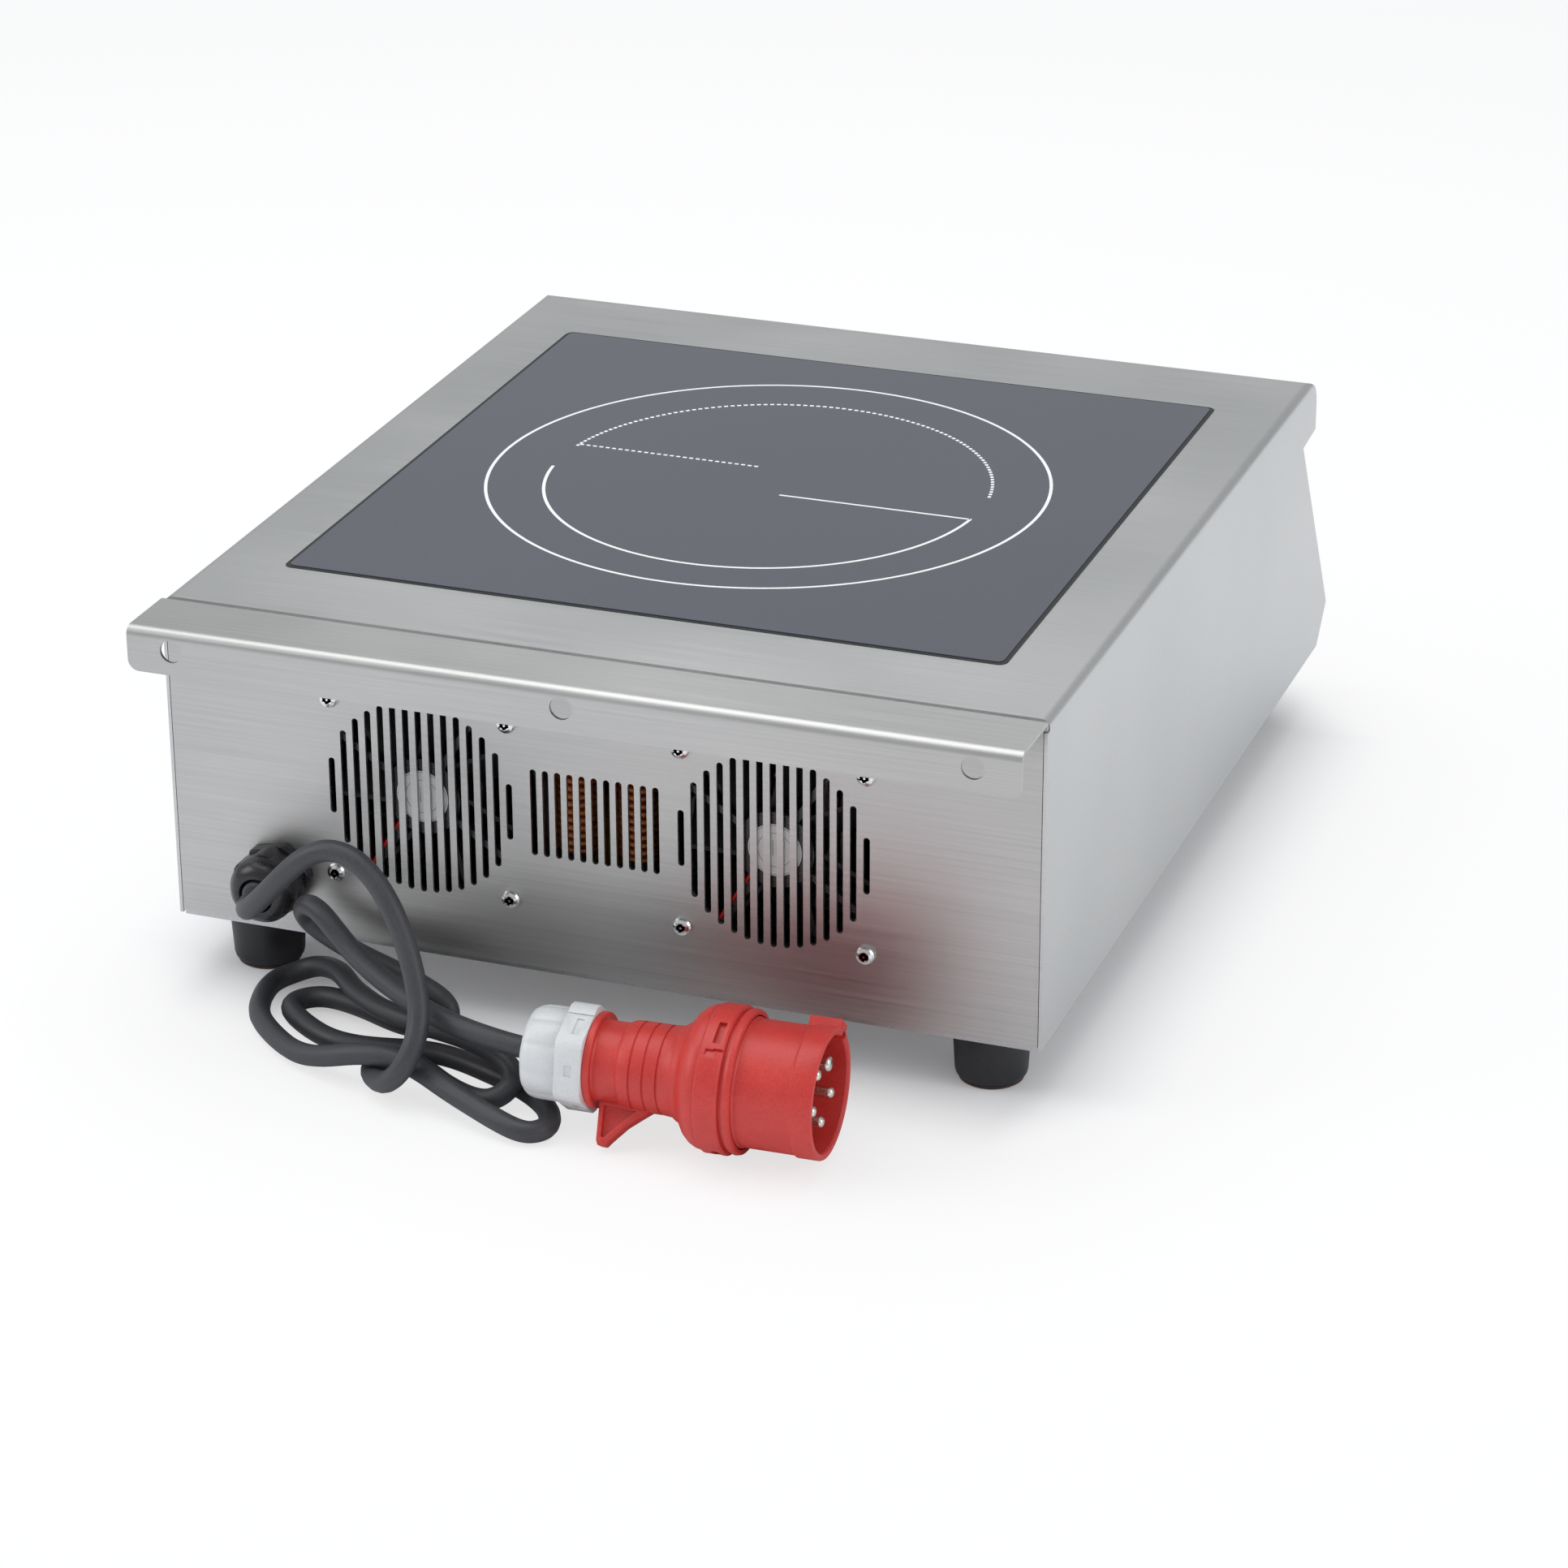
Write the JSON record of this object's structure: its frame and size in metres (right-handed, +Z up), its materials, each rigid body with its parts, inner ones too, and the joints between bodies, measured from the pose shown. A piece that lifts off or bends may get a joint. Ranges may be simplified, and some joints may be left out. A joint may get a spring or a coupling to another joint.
{
  "type": "induction hot plate",
  "caption": "Counter-top induction hot plate with a glass top, two rear fans, a sloped control panel with a knob and buttons, and a coiled lead with a five-pin plug.",
  "frame": {"origin": "bottom centre of the appliance on the surface it stands on, centred on its width and on its depth from knee to rear lip", "axes": "+Z up, +Y towards the rear panel with the fans and the cable gland, +X to the left of someone facing the controls"},
  "size_m": [0.4, 0.5813, 0.1806],
  "materials": {
    "stainless_cover": "brushed",
    "stainless_rear": "brushed",
    "zinc_steel": "satin",
    "cooktop_glass": "gloss",
    "black_sealant": "matt",
    "mica": "matt",
    "copper_wire": "satin",
    "pale_plastic": "matt",
    "ferrite": "matt",
    "circuit_board": "satin",
    "bare_aluminium": "satin",
    "black_plastic": "satin",
    "capacitor_film": "satin",
    "wire_insulation": "satin",
    "fan_blade_plastic": "satin",
    "label_white": "matt",
    "red_wire": "satin",
    "plated_screws": "bright",
    "overlay_film": "satin",
    "red_window": "gloss",
    "steel_shaft": "bright",
    "knob_plastic": "satin",
    "red_button": "satin",
    "grey_button": "satin",
    "foot_rubber": "matt",
    "cord_rubber": "matt",
    "plug_grey": "satin",
    "plug_red": "satin",
    "plated_pins": "bright"
  },
  "bodies": {
    "housing": {"top_cover": "stainless_cover", "rear_panel": "stainless_rear", "base_pan": "zinc_steel", "front_panel": "stainless_cover", "glass_frame": "zinc_steel", "glass_plate": "cooktop_glass", "glass_seal": "black_sealant", "mica_sheet": "mica", "coil_winding": "copper_wire", "coil_tray": "pale_plastic", "ferrite_bars": "ferrite", "coil_sensor": "pale_plastic", "coil_supports": "pale_plastic", "power_board": "circuit_board", "heatsink": "bare_aluminium", "power_modules": "black_plastic", "rectifier": "black_plastic", "capacitors": "capacitor_film", "choke_core": "ferrite", "choke_winding": "copper_wire", "filter_board": "circuit_board", "terminal_block": "pale_plastic", "earth_stud": "zinc_steel", "mains_wires": "wire_insulation", "fan_left_frame": "black_plastic", "fan_right_frame": "black_plastic", "fan_labels": "label_white", "fan_leads": "red_wire", "fan_screws": "plated_screws", "control_overlay": "overlay_film", "display_window": "red_window", "display_module": "black_plastic", "control_board": "circuit_board", "encoder_body": "black_plastic", "button_switches": "black_plastic", "foot_rear_left": "foot_rubber", "foot_rear_right": "foot_rubber", "foot_front_left": "foot_rubber", "foot_front_right": "foot_rubber", "foot_screws": "plated_screws", "panel_screws": "plated_screws", "base_screws": "plated_screws", "gland_body": "black_plastic", "gland_nut": "black_plastic", "gland_locknut": "black_plastic", "power_cord": "cord_rubber", "plug_nut": "plug_grey", "plug_ring": "plug_grey", "plug_body": "plug_red", "plug_collar": "plug_red", "plug_shroud": "plug_red", "plug_pins": "plated_pins"},
    "fan_left": {"fan_left_rotor": "fan_blade_plastic"},
    "fan_right": {"fan_right_rotor": "fan_blade_plastic"},
    "knob": {"control_knob": "knob_plastic", "encoder_shaft": "steel_shaft"},
    "power_key": {"power_button": "red_button"},
    "mode_key": {"mode_button": "grey_button"},
    "timer_less_key": {"timer_less_button": "grey_button"},
    "timer_more_key": {"timer_more_button": "grey_button"}
  },
  "joints": [
    {"name": "fan_left_spin", "type": "hinge", "parent": "housing", "child": "fan_left", "pos_m": [0.0808, 0.205, 0.103], "axis": [0, 1, 0], "continuous": true},
    {"name": "fan_right_spin", "type": "hinge", "parent": "housing", "child": "fan_right", "pos_m": [-0.0808, 0.205, 0.103], "axis": [0, 1, 0], "continuous": true},
    {"name": "knob_turn", "type": "hinge", "parent": "housing", "child": "knob", "pos_m": [0.096, -0.226, 0.09905], "axis": [0, 0.8589, -0.5121], "range_deg": [0, 270]},
    {"name": "power_press", "type": "slide", "parent": "housing", "child": "power_key", "axis": [0, 0.8589, -0.5121], "range_m": [0, 0.0015], "stiffness_N_per_m": 800, "springref_m": -0.0003},
    {"name": "mode_press", "type": "slide", "parent": "housing", "child": "mode_key", "axis": [0, 0.8589, -0.5121], "range_m": [0, 0.0015], "stiffness_N_per_m": 800, "springref_m": -0.0003},
    {"name": "timer_less_press", "type": "slide", "parent": "housing", "child": "timer_less_key", "axis": [0, 0.8589, -0.5121], "range_m": [0, 0.0015], "stiffness_N_per_m": 800, "springref_m": -0.0003},
    {"name": "timer_more_press", "type": "slide", "parent": "housing", "child": "timer_more_key", "axis": [0, 0.8589, -0.5121], "range_m": [0, 0.0015], "stiffness_N_per_m": 800, "springref_m": -0.0003}
  ]
}
